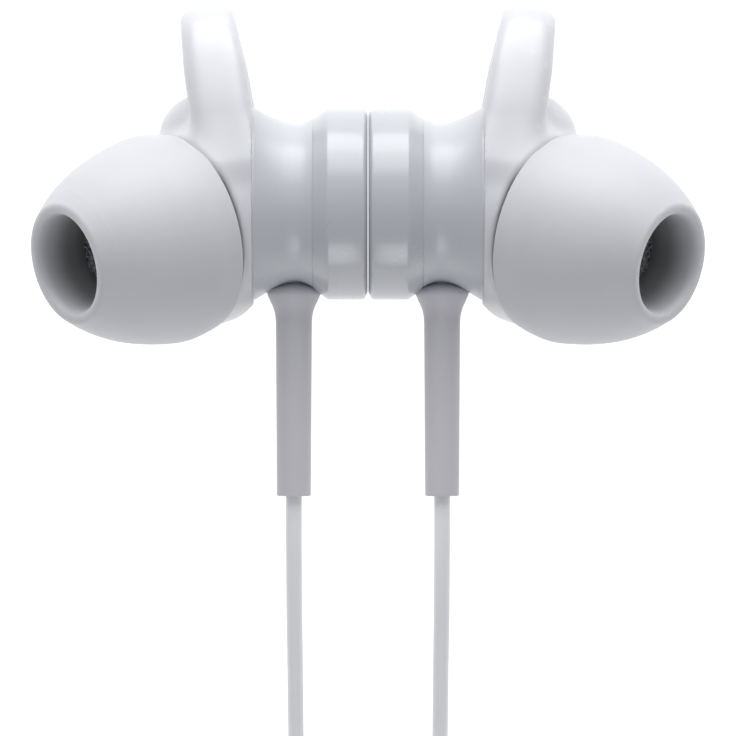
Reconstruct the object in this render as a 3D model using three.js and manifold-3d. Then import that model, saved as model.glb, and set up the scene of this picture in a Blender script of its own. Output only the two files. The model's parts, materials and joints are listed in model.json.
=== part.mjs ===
// Neckband earphones: two magnetic in-ear buds on thin cords, and the silicone collar that they hang from.
//
// Millimetres. The earphones lie flat on a surface at z = 0, +Z up. +Y runs from the pods to the collar's
// arch, and +X is the side of the control pod. The origin is under the middle of the box, without the cords.
//
// The two halves mirror each other, so each is built with x outwards from the middle plane and y measured
// from the axis that the clasped magnet discs share. "Height" is z above the surface.

import * as THREE from "three";
import { mergeVertices } from "three/addons/utils/BufferGeometryUtils.js";
import Module from "manifold-3d";

const wasm = await Module();
wasm.setup();

// ---------------------------------------------------------------- driving dimensions

const GAP = 0.3; // between pieces that touch on the real object
const WALL = 1.0; // moulded shells of a bud

const AXIS_Z = 6.75; // height of the clasp axis
const DISC = { radius: 6.39, face: 0.19, end: 2.66, bevel: 1.0, edge: 0.45, neck: 5.72, floor: 0.8 };
const MAGNET = { radius: 4.5, thick: 2.0 };
// The concave waist of the rear shell and the hollow inside it, as [distance along the clasp axis, radius].
const WAIST = [[3.96, 5.52], [4.69, 5.32], [5.8, 5.48], [6.6, 5.78], [7.4, 6.2]];
const WAIST_HOLLOW = [[7.4, 5.2], [5.8, 4.5], [4.96, 4.3], [4.96, 0]];
const SHELL_SPLIT = 7.4; // where the rear shell ends, along the clasp axis

const DRIVER = { radius: 4.1, thick: 2.6 };
const NOZZLE = { x: 9.6, y: -1.2, yaw: -16.5, pitch: 35.5, radius: 2.4, bore: 1.6, from: 3.5, to: 9.8 };

// The front of a bud is an egg round the driver, joined to a short barrel in line with the clasp axis. The
// sleeve is the outermost skin of that shape. Each skin inside it is thinner by an inset.
const EGG = { x: 10.6, y: -1.2, halfX: 4.6, halfY: 6.75, halfZ: 6.6 };
const BARREL = { radius: 6.25, from: 7.7, to: 10.3 };
const SLEEVE_WALL = 0.6;
const SLEEVE_COLLAR = { radius: 6.1, front: 3.0 }; // round the nozzle's axis, just behind the ear tip's rim
const WING = { width: 4.1, thick: 2.2, lean: 9.4, footX: 9.4 };
const WING_ARCH = [[2.5, 4.9], [5.0, 4.5], [7.6, 3.7], [10.0, 2.6], [11.7, 1.3]]; // [y, height] up to its top
const WING_TOP = 12.3;
const WING_ROOT = { x: 11.0, y: 4.4, radius: 2.9 };

// The ear tip's half-section as [distance from the rim, radius]. The rim lies along the nozzle's axis.
const TIP_RIM = 3.5;
const TIP_DOME = [[0, 6.6], [2, 6.95], [4.8, 6.5], [6.6, 5.9], [8.5, 4.8], [9.4, 4], [9.5, 3.6], [9, 3.2]];
const TIP_TUBE = [[7.3, 3.1], [6.7, 2.75], [2.1, 2.75], [2.1, 3.45], [6.2, 3.45]];
const TIP_UNDERSIDE = [[7, 4.4], [4.6, 5.8], [2, 6.3], [0, 6.05]];

// The cord leaves a bud square to the clasp axis, through a flare and a strain relief: [distance, radius].
const EXIT_X = 4.94;
const FLARE = [[5.2, 0], [5.65, 1.6], [5.9, 1.78], [6.6, 1.5], [7.81, 1.2], [7.81, 0]];
const RELIEF = [[8.11, 0], [8.11, 1.2], [19.48, 1.12], [19.48, 0]];
const CORD_RADIUS = 0.53;
const CORD_STEPS = 68;

const BAND = { x: 61, width: 6.4, height: 5.0, flexY: 10, archY: 40, archHeight: 50 };
const CHANNEL = { width: 4.0, height: 2.3 }; // the hollow in the band's skin
const SPRING_WIRE = { radius: 0.6, outwards: 0.95 };
const HARNESS = { radius: 0.7, outwards: -0.85 };
const ARCH_STEPS = 28;


// A place along a pod is its "spot", the distance from the pod's top end.
const POD = { top: -14, length: 64, width: 14, height: 10.8, wall: 1.4, split: 5.0 };
const POD_END = { width: 6.8, height: 5.6, topTaper: 14, footTaper: 12 };
const POD_SPOTS = [0, 3, 6, 9, 14, 33, 52, 55, 58, 61, 64];
const UNDERSIDE = 0.2; // how much of a pod's section is cut off flat
const NOSE = { length: 9, radius: 2.4, endRadius: 1.1, height: 2.8 };
const CELL = { spot: 30, size: [8.4, 32, 5.6], low: 2.3 };
const CELL_BOARD = { spot: 50.5, size: [7.6, 6, 1.0], low: 3.2 };
const BUTTON = { spots: [33.5, 41.5, 49.5], length: 6.4, width: 4.6, proud: 0.6, low: 8.1 };
const SWITCH = { width: 3.6, clearance: 0.5 };
const BOARD = { spot: 32.5, size: [9.0, 43, 1.0], low: 3.2 };
const PORT = { spot: 25.5, width: 8.9, height: 3.2, depth: 7.3, low: 4.5, wall: 0.3, mouth: 5.4 };
const COVER = { width: 12, height: 5.2, thick: 0.9 };
const LIGHT = { spot: 24, radius: 0.8, low: 8.2, high: 10.55 };
const MICROPHONE = { spot: 57, radius: 0.9, low: 7.2, high: 8.2 };
const MOTOR = { spot: 15.5, radius: 3.6, low: 4.5, high: 7.2 };

const noseEnd = POD.top - POD.length - GAP - NOSE.length;
const archTop = BAND.archY + BAND.archHeight + BAND.width / 2;
const FRAME_Y = -(archTop + noseEnd) / 2; // puts the origin under the middle of the box

// ---------------------------------------------------------------- materials

const finish = (color, roughness, metalness = 0) =>
  new THREE.MeshStandardMaterial({ color, roughness, metalness });

const FINISHES = {
  shell: finish(0xe6e7ec, 0.28),
  disc: finish(0xe2e3e8, 0.18),
  silicone: finish(0xdfe0e6, 0.55),
  tip: finish(0xe4e4ea, 0.6),
  jacket: finish(0xc9cad2, 0.5),
  mesh: finish(0x8a8c90, 0.4, 1),
  magnet: finish(0xb9bcc2, 0.25, 1),
  can: finish(0xaeb2b8, 0.35, 1),
  spring: finish(0x9a9da3, 0.35, 1),
  board: finish(0x1f5a3c, 0.5),
  cell: finish(0xbfc3c8, 0.3, 1),
  dark: finish(0x2b2c30, 0.6),
  port: finish(0xa9adb3, 0.3, 1),
  light: finish(0xf2f5ff, 0.1),
};

// ---------------------------------------------------------------- solids

const point = (x, y, z) => new THREE.Vector3(x, y, z);

/** The closed geometry as a solid that can be joined and cut. */
function solid(geometry) {
  const bare = geometry.index ? geometry.toNonIndexed() : geometry.clone();
  bare.deleteAttribute("normal");
  bare.deleteAttribute("uv");
  const merged = mergeVertices(bare, 1e-3);
  return new wasm.Manifold(
    new wasm.Mesh({
      numProp: 3,
      vertProperties: merged.attributes.position.array,
      triVerts: new Uint32Array(merged.index.array),
    }),
  );
}

/** A solid's triangles as a geometry. */
function geometryOf(body) {
  const mesh = body.getMesh();
  const geometry = new THREE.BufferGeometry();
  geometry.setAttribute("position", new THREE.BufferAttribute(new Float32Array(mesh.vertProperties), 3));
  geometry.setIndex(new THREE.BufferAttribute(new Uint32Array(mesh.triVerts), 1));
  geometry.computeVertexNormals();
  return geometry;
}

/** A profile of [along, radius] pairs turned about +X. */
function turned(profile, sides = 20) {
  const outline = profile.map(([along, radius]) => new THREE.Vector2(radius, along));
  if (THREE.ShapeUtils.area(outline) < 0) outline.reverse();
  return new THREE.LatheGeometry(outline, sides).rotateZ(-Math.PI / 2);
}

/** The geometry, made along +X, turned to point along direction from origin. */
function aimed(geometry, origin, direction) {
  const turn = new THREE.Quaternion().setFromUnitVectors(point(1, 0, 0), direction);
  return geometry.applyQuaternion(turn).translate(origin.x, origin.y, origin.z);
}

/** A block between two corners. */
function block(low, high) {
  const size = high.clone().sub(low);
  const middle = low.clone().add(high).multiplyScalar(0.5);
  return new THREE.BoxGeometry(size.x, size.y, size.z).translate(middle.x, middle.y, middle.z);
}

/** An upright block with rounded ends, long along y. */
function pill(x, y, width, length, low, high, sides = 6) {
  const radius = width / 2;
  const reach = length / 2 - radius;
  const outline = new THREE.Shape();
  outline.absarc(0, reach, radius, 0, Math.PI);
  outline.absarc(0, -reach, radius, Math.PI, 2 * Math.PI);
  const settings = { depth: high - low, bevelEnabled: false, curveSegments: sides };
  return new THREE.ExtrudeGeometry(outline, settings).translate(x, y, low);
}

/** The points round an ellipse. */
function oval(halfX, halfY, sides) {
  const ring = [];
  for (let i = 0; i < sides; i += 1) {
    const angle = (2 * Math.PI * (i + 0.5)) / sides;
    ring.push(new THREE.Vector2(halfX * Math.cos(angle), halfY * Math.sin(angle)));
  }
  return ring;
}

/** A section swept along a curve. */
function swept(curve, section, steps) {
  return new THREE.ExtrudeGeometry(section, { steps, bevelEnabled: false, extrudePath: curve });
}

/** A skin over rings of equally many points, one for each station, closed at both ends. */
function lofted(stations, ringAt) {
  const rings = stations.map(ringAt);
  const sides = rings[0].length;
  const middle = (ring) => ring.reduce((sum, p) => sum.add(p), point(0, 0, 0)).multiplyScalar(1 / sides);
  const corners = [...rings.flat(), middle(rings[0]), middle(rings.at(-1))];
  const first = corners.length - 2;
  const last = corners.length - 1;
  const faces = [];
  for (let i = 0; i < sides; i += 1) {
    const next = (i + 1) % sides;
    faces.push(first, next, i);
    faces.push(last, (rings.length - 1) * sides + i, (rings.length - 1) * sides + next);
    for (let ring = 0; ring < rings.length - 1; ring += 1) {
      const near = ring * sides;
      const far = near + sides;
      faces.push(near + i, near + next, far + i);
      faces.push(near + next, far + next, far + i);
    }
  }
  const geometry = new THREE.BufferGeometry().setFromPoints(corners);
  geometry.setIndex(faces);
  geometry.computeVertexNormals();
  return geometry;
}

/** Adds a named mesh of a geometry or a solid to a group. */
function add(group, name, shape, material) {
  const geometry = shape.isBufferGeometry ? shape : geometryOf(shape);
  const mesh = new THREE.Mesh(geometry, material);
  mesh.name = name;
  group.add(mesh);
}

// ---------------------------------------------------------------- bud

const discAxis = point(1, 0, 0);
const discMiddle = point(0, 0, AXIS_Z);
const nozzleFoot = point(NOZZLE.x, NOZZLE.y, AXIS_Z);
const yaw = THREE.MathUtils.degToRad(NOZZLE.yaw);
const pitch = THREE.MathUtils.degToRad(NOZZLE.pitch);
const tipAxis = point(Math.cos(pitch) * Math.cos(yaw), Math.cos(pitch) * Math.sin(yaw), Math.sin(pitch));

const onDiscAxis = (profile, sides) => aimed(turned(profile, sides), discMiddle, discAxis);
const onTipAxis = (profile, sides) => aimed(turned(profile, sides), nozzleFoot, tipAxis);
const rod = (from, to, radius) => [[from, 0], [from, radius], [to, radius], [to, 0]];

/** A ball with its own half-axes. */
function egg(halfX, halfY, halfZ, middle, wide, high) {
  const made = new THREE.SphereGeometry(1, wide, high).rotateZ(Math.PI / 2).scale(halfX, halfY, halfZ);
  return solid(made.translate(middle.x, middle.y, middle.z));
}

/** The front of a bud, thinner all over by inset. */
function frontBody(inset) {
  const { x, y, halfX, halfY, halfZ } = EGG;
  const round = egg(halfX - inset, halfY - inset, halfZ - inset, point(x, y, AXIS_Z), 18, 12);
  const barrel = rod(BARREL.from, BARREL.to - inset, BARREL.radius - inset);
  return round.add(solid(onDiscAxis(barrel)));
}

/** The glossy end disc: a cup whose pocket holds the clasp magnet. */
function magnetCap() {
  const pocket = MAGNET.radius + GAP;
  const floor = DISC.face + DISC.floor;
  return onDiscAxis([
    [DISC.face, 0],
    [DISC.face, DISC.radius - DISC.edge],
    [DISC.face + DISC.edge / 2, DISC.radius],
    [DISC.end, DISC.radius],
    [DISC.end + DISC.bevel, DISC.neck],
    [DISC.end + DISC.bevel, pocket],
    [floor, pocket],
    [floor, 0],
  ], 24);
}

function claspMagnet() {
  const from = DISC.face + DISC.floor + GAP;
  return onDiscAxis(rod(from, from + MAGNET.thick, MAGNET.radius), 16);
}

/** The waisted cup between the disc and the front shell. */
const rearShell = () => onDiscAxis([[WAIST[0][0], 0], ...WAIST, ...WAIST_HOLLOW]);

const driverMiddle = point(0, EGG.y / 2, AXIS_Z);

function driver() {
  const from = SHELL_SPLIT + 2 * GAP;
  return aimed(turned(rod(from, from + DRIVER.thick, DRIVER.radius), 16), driverMiddle, discAxis);
}

/** The front shell: a hollow egg with the nozzle that the ear tip sits on. */
function frontShell() {
  const inset = SLEEVE_WALL + GAP;
  const nozzle = onTipAxis(rod(NOZZLE.from, NOZZLE.to, NOZZLE.radius), 16);
  const bore = onTipAxis(rod(NOZZLE.from, NOZZLE.to + 1, NOZZLE.bore), 12);
  const seat = aimed(turned(rod(1, EGG.x, DRIVER.radius + GAP), 16), driverMiddle, discAxis);
  return frontBody(inset)
    .add(solid(nozzle))
    .subtract(frontBody(inset + WALL))
    .subtract(solid(bore))
    .subtract(solid(seat));
}

function nozzleMesh() {
  return onTipAxis(rod(NOZZLE.to + GAP, NOZZLE.to + 2 * GAP, NOZZLE.radius - 0.1), 16);
}

/** The loop of the ear wing, an arch that stands on the sleeve with its hole facing outwards. */
function wingLoop() {
  const upper = WING_ARCH.map(([y, height]) => point(0, y, height));
  const lower = WING_ARCH.map(([y, height]) => point(0, y, -height));
  const arch = new THREE.CatmullRomCurve3([...lower, point(0, WING_TOP, 0), ...upper.reverse()]);
  const loop = swept(arch, new THREE.Shape(oval(WING.width / 2, WING.thick / 2, 10)), 18);
  return loop
    .translate(0, -WING_ROOT.y, 0)
    .rotateZ(-THREE.MathUtils.degToRad(WING.lean))
    .translate(WING.footX, WING_ROOT.y, AXIS_Z);
}

/** The silicone sleeve round the front shell, with the wing loop moulded on. */
function wingSleeve() {
  const { x, y, radius } = WING_ROOT;
  const root = egg(radius, radius, radius, point(x, y, AXIS_Z), 12, 8);
  const behind = block(point(-5, -20, -20), point(BARREL.from, 20, 40));
  const before = onTipAxis(rod(SLEEVE_COLLAR.front, 30, 30), 4);
  return frontBody(0)
    .add(root)
    .add(solid(onTipAxis(rod(0, SLEEVE_COLLAR.front + 1, SLEEVE_COLLAR.radius), 24)))
    .subtract(solid(before))
    .add(solid(wingLoop()))
    .subtract(frontBody(SLEEVE_WALL))
    .subtract(solid(behind));
}

/** The silicone ear tip: a dome with a rolled mouth, folded back round the tube that grips the nozzle. */
function earTip() {
  const section = [...TIP_DOME, ...TIP_TUBE, ...TIP_UNDERSIDE];
  const outline = section.map(([along, out]) => [TIP_RIM + along, out]);
  return onTipAxis([...outline, outline[0]]);
}

const downFromExit = (profile, sides) =>
  aimed(turned(profile, sides), point(EXIT_X, 0, AXIS_Z), point(0, -1, 0));

/** The flare that seats the strain relief against the waist. */
function cordCollar() {
  const discEnd = DISC.end + GAP / 2;
  const body = [
    [1, 0],
    [1, DISC.radius + GAP],
    [discEnd, DISC.radius + GAP],
    [discEnd + DISC.bevel, DISC.neck + GAP],
    ...WAIST.map(([along, radius]) => [along, radius + GAP]),
    [SHELL_SPLIT, 0],
  ];
  return solid(downFromExit(FLARE, 16)).subtract(solid(onDiscAxis(body, 32)));
}

const strainRelief = () => downFromExit(RELIEF, 12);

// The route of a bud's cord: out of the strain relief, down to the surface, along it, round and into the pod.
const CORD_ROUTE = [
  [4.94, -19.8, 6.75],
  [4.94, -23.0, 6.6],
  [4.93, -27.0, 5.5],
  [4.9, -31.0, 3.7],
  [4.88, -35.0, 2.0],
  [4.86, -40.0, 0.85],
  [4.9, -47.0, 0.6],
  [5.0, -64.0, 0.6],
  [5.3, -83.0, 0.6],
  [5.9, -101.0, 0.6],
  [7.6, -114.0, 0.6],
  [12.0, -126.5, 0.6],
  [20.5, -135.5, 0.6],
  [31.5, -139.0, 0.6],
  [43.0, -136.5, 0.6],
  [52.5, -129.0, 0.6],
  [58.5, -117.5, 0.7],
  [60.7, -105.5, 1.3],
  [61.0, -96.0, 2.4],
  [61.0, -87.6, 2.8],
];

function budCord() {
  const stops = CORD_ROUTE.map(([x, y, z]) => point(x, y, z));
  const route = new THREE.CatmullRomCurve3(stops, false, "centripetal");
  return swept(route, new THREE.Shape(oval(CORD_RADIUS, CORD_RADIUS, 8)), CORD_STEPS);
}

/** Every piece of one bud, with its cord. */
function addBud(group, side) {
  add(group, `magnet_cap_${side}`, magnetCap(), FINISHES.disc);
  add(group, `clasp_magnet_${side}`, claspMagnet(), FINISHES.magnet);
  add(group, `rear_shell_${side}`, rearShell(), FINISHES.shell);
  add(group, `driver_${side}`, driver(), FINISHES.can);
  add(group, `front_shell_${side}`, frontShell(), FINISHES.shell);
  add(group, `nozzle_mesh_${side}`, nozzleMesh(), FINISHES.mesh);
  add(group, `wing_sleeve_${side}`, wingSleeve(), FINISHES.silicone);
  add(group, `ear_tip_${side}`, earTip(), FINISHES.tip);
  add(group, `cord_collar_${side}`, cordCollar(), FINISHES.jacket);
  add(group, `strain_relief_${side}`, strainRelief(), FINISHES.jacket);
  add(group, `bud_cord_${side}`, budCord(), FINISHES.jacket);
}

// ---------------------------------------------------------------- collar

/** The collar's line from the left flex line round the arch to the right one, moved outwards. */
class ArchLine extends THREE.Curve {
  constructor(outwards) {
    super();
    this.outwards = outwards;
  }

  getPoint(t, target = new THREE.Vector3()) {
    const halfX = BAND.x + this.outwards;
    const halfY = BAND.archHeight + this.outwards;
    const straight = BAND.archY - BAND.flexY - GAP / 2;
    const bend = Math.PI * halfY; // gives the bend its share of t
    const along = t * (2 * straight + bend);
    const height = BAND.height / 2;
    if (along < straight) return target.set(-halfX, BAND.archY - straight + along, height);
    if (along > straight + bend) return target.set(halfX, BAND.archY + straight + bend - along, height);
    const angle = Math.PI - (Math.PI * (along - straight)) / bend;
    return target.set(halfX * Math.cos(angle), BAND.archY + halfY * Math.sin(angle), height);
  }
}

/** One arm's line, from the flex line down to the pod. */
const armLine = (outwards) => {
  const x = BAND.x + outwards;
  const height = BAND.height / 2;
  return new THREE.LineCurve3(point(x, BAND.flexY - GAP / 2, height), point(x, POD.top + GAP, height));
};

/** The skin's hollow section. A sweep takes a section's x across the collar's height, y across its width. */
const skinSection = () => {
  const section = new THREE.Shape(oval(BAND.height / 2, BAND.width / 2, 12));
  section.holes.push(new THREE.Path(oval(CHANNEL.height / 2, CHANNEL.width / 2, 8)));
  return section;
};
const roundSection = (radius) => new THREE.Shape(oval(radius, radius, 6));

/** The skin, the spring wire and the harness of a stretch of the collar, whose line at an offset is lineAt. */
function addBand(group, place, lineAt, steps) {
  const wire = swept(lineAt(SPRING_WIRE.outwards), roundSection(SPRING_WIRE.radius), steps);
  const harness = swept(lineAt(HARNESS.outwards), roundSection(HARNESS.radius), steps);
  add(group, `band_skin_${place}`, swept(lineAt(0), skinSection(), steps), FINISHES.silicone);
  add(group, `spring_wire_${place}`, wire, FINISHES.spring);
  add(group, `harness_${place}`, harness, FINISHES.dark);
}

// ---------------------------------------------------------------- pods

const smooth = (t) => {
  const s = Math.min(1, Math.max(0, t));
  return s * s * (3 - 2 * s);
};

/** How full a pod is at a distance from its top end: 0 at the ends, 1 along the middle. */
const fullness = (spot) =>
  smooth(spot / POD_END.topTaper) * smooth((POD.length - spot) / POD_END.footTaper);

const podX = BAND.x;
const podY = (spot) => POD.top - spot;

/** Draws an ellipse's sine or cosine out towards a rounded rectangle. */
const squarer = (value) => Math.sign(value) * Math.abs(value) ** 0.75;

/** A pod's body of rounded sections, thinner all over by inset. It stands on its flattened underside. */
function podBody(inset) {
  const spots = POD_SPOTS.map((spot) => THREE.MathUtils.clamp(spot, inset, POD.length - inset));
  return lofted(spots, (spot) => {
    const full = fullness(spot);
    const halfWidth = THREE.MathUtils.lerp(POD_END.width, POD.width, full) / 2 - inset;
    const halfHeight = THREE.MathUtils.lerp(POD_END.height, POD.height, full) / 2;
    const ring = [];
    const sides = 16;
    for (let i = 0; i < sides; i += 1) {
      const angle = (2 * Math.PI * (i + 0.5)) / sides;
      const across = halfWidth * squarer(Math.cos(angle));
      const up = (halfHeight - inset) * squarer(Math.sin(angle));
      ring.push(point(podX + across, podY(spot), halfHeight - UNDERSIDE + up));
    }
    return ring;
  });
}

/** A pod's hollow body, before it is parted. */
function podShell() {
  const below = block(point(0, -200, -10), point(100, 100, 0));
  return solid(podBody(0)).subtract(solid(below)).subtract(solid(podBody(POD.wall)));
}

const above = (height) => solid(block(point(0, -200, height), point(100, 100, 60)));
const under = (height) => solid(block(point(0, -200, -10), point(100, 100, height)));

/** The tapered sleeve that the cord goes into at a pod's tip. */
function podNose() {
  const from = POD.length + GAP;
  const to = from + NOSE.length;
  const sleeve = turned([[from, 0], [from, NOSE.radius], [to, NOSE.endRadius], [to, 0]], 12);
  return aimed(sleeve, point(podX, POD.top, NOSE.height), point(0, -1, 0));
}

/** A block in a pod, on its middle line. size is its width, length and height. */
const inPod = ({ spot, size: [width, length, height], low }) =>
  block(
    point(podX - width / 2, podY(spot) - length / 2, low),
    point(podX + width / 2, podY(spot) + length / 2, low + height),
  );

/** An upright rod in a pod, on its middle line, thicker all round by more. */
const postInPod = ({ spot, radius, low, high }, more = 0) => {
  const post = turned(rod(low - more, high + more, radius + more), 14);
  return aimed(post, point(podX, podY(spot), 0), point(0, 0, 1));
};

/** Adds the upper and the lower part of a pod's hollow body. */
function addShells(group, pod, shell) {
  add(group, `${pod}_upper`, shell.intersect(above(POD.split + GAP / 2)), FINISHES.shell);
  add(group, `${pod}_lower`, shell.intersect(under(POD.split - GAP / 2)), FINISHES.shell);
}

function addBatteryPod(group) {
  addShells(group, "battery_pod", podShell());
  add(group, "battery_cell", inPod(CELL), FINISHES.cell);
  add(group, "protection_board", inPod(CELL_BOARD), FINISHES.board);
  add(group, "battery_pod_nose", podNose(), FINISHES.jacket);
}

const BUTTON_NAMES = ["volume_up", "multifunction", "volume_down"];
const coverX = podX + POD.width / 2;
const coverLow = PORT.low + PORT.height / 2 - COVER.height / 2;

/** The flap's block, wider all round by more. */
const coverBlock = (more) =>
  block(
    point(coverX - COVER.thick - more, podY(PORT.spot) - COVER.width / 2 - more, coverLow - more),
    point(coverX + 2 * more, podY(PORT.spot) + COVER.width / 2 + more, coverLow + COVER.height + more),
  );

/** An opening from inside a pod to its outside, round a post. */
const openingFor = (post) => solid(postInPod({ ...post, high: POD.height + 2 }, GAP));

/** The control pod's shell with the openings for its buttons, port, light and microphone. */
function controlShell() {
  let shell = podShell();
  const width = BUTTON.width + 2 * GAP;
  const length = BUTTON.length + 2 * GAP;
  for (const spot of BUTTON.spots) {
    shell = shell.subtract(solid(pill(podX, podY(spot), width, length, BUTTON.low - 1, POD.height + 2)));
  }
  const slot = block(
    point(podX, podY(PORT.spot) - PORT.width / 2 - GAP, PORT.low - GAP),
    point(podX + POD.width, podY(PORT.spot) + PORT.width / 2 + GAP, PORT.low + PORT.height + GAP),
  );
  return shell
    .subtract(solid(slot))
    .subtract(solid(coverBlock(GAP)))
    .subtract(openingFor(LIGHT))
    .subtract(openingFor(MICROPHONE));
}

/** A USB-C receptacle's shell, open towards the pod's side. */
function usbPort() {
  const front = coverX - COVER.thick - 2 * GAP;
  const halfWidth = PORT.width / 2;
  const outside = block(
    point(front - PORT.depth, podY(PORT.spot) - halfWidth, PORT.low),
    point(front, podY(PORT.spot) + halfWidth, PORT.low + PORT.height),
  );
  const mouth = block(
    point(front - PORT.mouth, podY(PORT.spot) - halfWidth + PORT.wall, PORT.low + PORT.wall),
    point(coverX, podY(PORT.spot) + halfWidth - PORT.wall, PORT.low + PORT.height - PORT.wall),
  );
  return solid(outside).subtract(solid(mouth));
}

/** A button's cap, and the switch under it on the main board. */
function addButton(group, name, spot) {
  const top = POD.height - UNDERSIDE + BUTTON.proud;
  const cap = pill(podX, podY(spot), BUTTON.width, BUTTON.length, BUTTON.low, top);
  const foot = BOARD.low + BOARD.size[2] + GAP;
  const size = [SWITCH.width, SWITCH.width, BUTTON.low - SWITCH.clearance - foot];
  add(group, `${name}_button`, cap, FINISHES.silicone);
  add(group, `${name}_switch`, inPod({ spot, size, low: foot }), FINISHES.dark);
}

function addControlPod(group) {
  addShells(group, "control_pod", controlShell());
  BUTTON.spots.forEach((spot, i) => addButton(group, BUTTON_NAMES[i], spot));
  add(group, "main_board", inPod(BOARD), FINISHES.board);
  add(group, "usb_port", usbPort(), FINISHES.port);
  add(group, "port_cover", coverBlock(0), FINISHES.silicone);
  add(group, "status_light", postInPod(LIGHT), FINISHES.light);
  add(group, "microphone_mesh", postInPod(MICROPHONE), FINISHES.mesh);
  add(group, "vibration_motor", postInPod(MOTOR), FINISHES.can);
  add(group, "control_pod_nose", podNose(), FINISHES.jacket);
}

// ---------------------------------------------------------------- the whole

/** One half, whose x runs outwards. */
function half(side, sign) {
  const group = new THREE.Group();
  group.scale.x = sign;
  addBud(group, side);
  addBand(group, side, armLine, 2);
  return group;
}

const earphones = new THREE.Group();
earphones.position.y = FRAME_Y;
const left = half("left", -1);
const right = half("right", 1);
addBatteryPod(left);
addControlPod(right);
earphones.add(left, right);
addBand(earphones, "arch", (outwards) => new ArchLine(outwards), ARCH_STEPS);

export default earphones;
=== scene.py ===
"""Neckband earphones with their buds clasped, lying on a pale surface and seen from straight above.

Everything ends up in metres in the CAD frame. A bud's shapes are worked out in millimetres, with x outwards
from the middle plane, and y and z from the clasp axis. The collar's shapes are in millimetres too, with x
outwards, y from the clasp axis and z from the surface. in_frame() turns both into metres on either side.
"""

import json
import math

import bmesh
import bpy
import numpy as np
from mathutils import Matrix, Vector


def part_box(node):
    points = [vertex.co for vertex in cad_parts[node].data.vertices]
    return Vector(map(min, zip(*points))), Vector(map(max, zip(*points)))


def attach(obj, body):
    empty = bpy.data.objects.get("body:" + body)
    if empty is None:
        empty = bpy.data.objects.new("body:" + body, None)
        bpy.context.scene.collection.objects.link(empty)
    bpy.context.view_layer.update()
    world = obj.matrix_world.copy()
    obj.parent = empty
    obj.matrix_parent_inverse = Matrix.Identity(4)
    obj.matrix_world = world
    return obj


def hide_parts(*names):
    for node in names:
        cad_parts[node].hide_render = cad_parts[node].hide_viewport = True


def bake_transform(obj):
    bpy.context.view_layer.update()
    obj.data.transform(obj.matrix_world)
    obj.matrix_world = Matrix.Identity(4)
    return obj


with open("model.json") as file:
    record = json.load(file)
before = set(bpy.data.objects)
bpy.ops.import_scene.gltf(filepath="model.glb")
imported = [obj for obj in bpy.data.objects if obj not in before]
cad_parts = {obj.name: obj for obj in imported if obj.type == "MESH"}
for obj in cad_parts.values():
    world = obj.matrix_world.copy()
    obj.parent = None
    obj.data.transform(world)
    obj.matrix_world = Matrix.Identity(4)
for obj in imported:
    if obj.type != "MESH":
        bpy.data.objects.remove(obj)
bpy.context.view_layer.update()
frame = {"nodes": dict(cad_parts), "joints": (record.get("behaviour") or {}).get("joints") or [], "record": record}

MM = 0.001
SIDES = {"left": -1, "right": 1}

disc_low, disc_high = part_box("magnet_cap_right")
AXIS_Y = (disc_low.y + disc_high.y) / 2
AXIS_Z = (disc_low.z + disc_high.z) / 2
JOINTS = {joint["name"]: joint for joint in frame["joints"]}


# ---------------------------------------------------------------- mesh tools


def in_frame(points, side, from_surface=False):
    """Millimetre points of one half, in metres in the CAD frame."""
    points = np.asarray(points, float) * MM
    origin = np.array([0, AXIS_Y, 0 if from_surface else AXIS_Z])
    return points * [SIDES[side], 1, 1] + origin


MERGE_DISTANCE = 2e-7
THIN_EDGE = 1e-7
SHARP_ANGLE = math.radians(38)


def mesh_object(name, points, faces, material):
    """A closed, smooth-shaded mesh with its doubled points merged and its faces pointing out."""
    mesh = bpy.data.meshes.new(name)
    mesh.from_pydata([tuple(p) for p in points], [], [tuple(f) for f in faces])
    made = bmesh.new()
    made.from_mesh(mesh)
    bmesh.ops.remove_doubles(made, verts=made.verts, dist=MERGE_DISTANCE)
    bmesh.ops.dissolve_degenerate(made, edges=made.edges, dist=THIN_EDGE)
    bmesh.ops.recalc_face_normals(made, faces=made.faces)
    made.to_mesh(mesh)
    made.free()
    mesh.shade_smooth()
    mesh.set_sharp_from_angle(angle=SHARP_ANGLE)
    mesh.materials.append(material)
    obj = bpy.data.objects.new(name, mesh)
    bpy.context.scene.collection.objects.link(obj)
    return obj


def joined_faces(parts):
    """Several (points, faces) as one."""
    points, faces, count = [], [], 0
    for part_points, part_faces in parts:
        points.append(np.asarray(part_points, float))
        faces += [[i + count for i in face] for face in part_faces]
        count += len(part_points)
    return np.concatenate(points), faces


def grid_faces(rings, sides, closed_rings=False):
    """The quads between rings of points that follow each other, with one flat face as each open end's cap."""
    faces = []
    last = rings if closed_rings else rings - 1
    for ring in range(last):
        near, far = ring * sides, (ring + 1) % rings * sides
        for i in range(sides):
            j = (i + 1) % sides
            faces.append([near + i, near + j, far + j, far + i])
    if not closed_rings:
        faces.append(list(range(sides))[::-1])
        faces.append([(rings - 1) * sides + i for i in range(sides)])
    return faces


def rounded(profile, radius, steps=5):
    """An open outline with each inner corner rounded off, by no more than 0.45 of its shorter leg."""
    points = [np.array(p, float) for p in profile]
    made = [points[0]]
    for before, corner, after in zip(points, points[1:], points[2:]):
        to_before, to_after = before - corner, after - corner
        legs = np.linalg.norm(to_before), np.linalg.norm(to_after)
        cut = min(radius, 0.45 * min(legs))
        start, end = corner + to_before * cut / legs[0], corner + to_after * cut / legs[1]
        for t in np.linspace(0, 1, steps + 1):
            made.append((1 - t) ** 2 * start + 2 * t * (1 - t) * corner + t**2 * end)
    made.append(points[-1])
    return np.array(made)


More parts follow.
